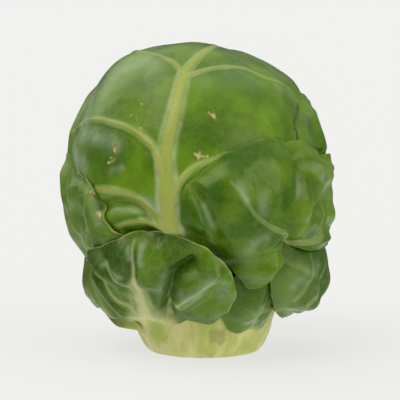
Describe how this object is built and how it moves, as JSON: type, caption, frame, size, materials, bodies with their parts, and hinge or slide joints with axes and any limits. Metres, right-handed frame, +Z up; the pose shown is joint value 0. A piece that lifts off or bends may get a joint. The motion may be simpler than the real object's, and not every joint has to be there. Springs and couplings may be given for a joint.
{
  "type": "brussels sprout",
  "caption": "Single trimmed brussels sprout: overlapping waxy green wrapper leaves with pale raised veins around a tight heart, standing upright on its broad cut stem.",
  "frame": {"origin": "centre of the flat cut face of the stem, on the surface that the sprout stands on", "axes": "+Z up from the cut stem to the crown, -Y towards the front, where the main crown leaf shows its midrib"},
  "size_m": [0.0367, 0.0348, 0.0394],
  "materials": {
    "cut_stem": "pale cream green, matte, faint green streaks and leaf scars",
    "inner_leaf": "pale yellow green, satin",
    "wrapper_leaf": "waxy mid green with pale raised veins and a soft bloom",
    "low_leaf": "waxy deep green, puckered between pale veins, paling to the base"
  },
  "bodies": {
    "root": {"stem": "cut_stem", "heart": "inner_leaf", "back_right_leaf": "wrapper_leaf", "back_left_leaf": "wrapper_leaf", "crown_leaf": "wrapper_leaf", "top_right_leaf": "wrapper_leaf", "left_leaf": "wrapper_leaf", "right_leaf": "wrapper_leaf", "back_low_left_leaf": "low_leaf", "back_low_right_leaf": "low_leaf", "small_low_leaf": "low_leaf", "right_low_leaf": "low_leaf", "left_low_leaf": "low_leaf", "front_low_leaf": "low_leaf"}
  },
  "joints": []
}
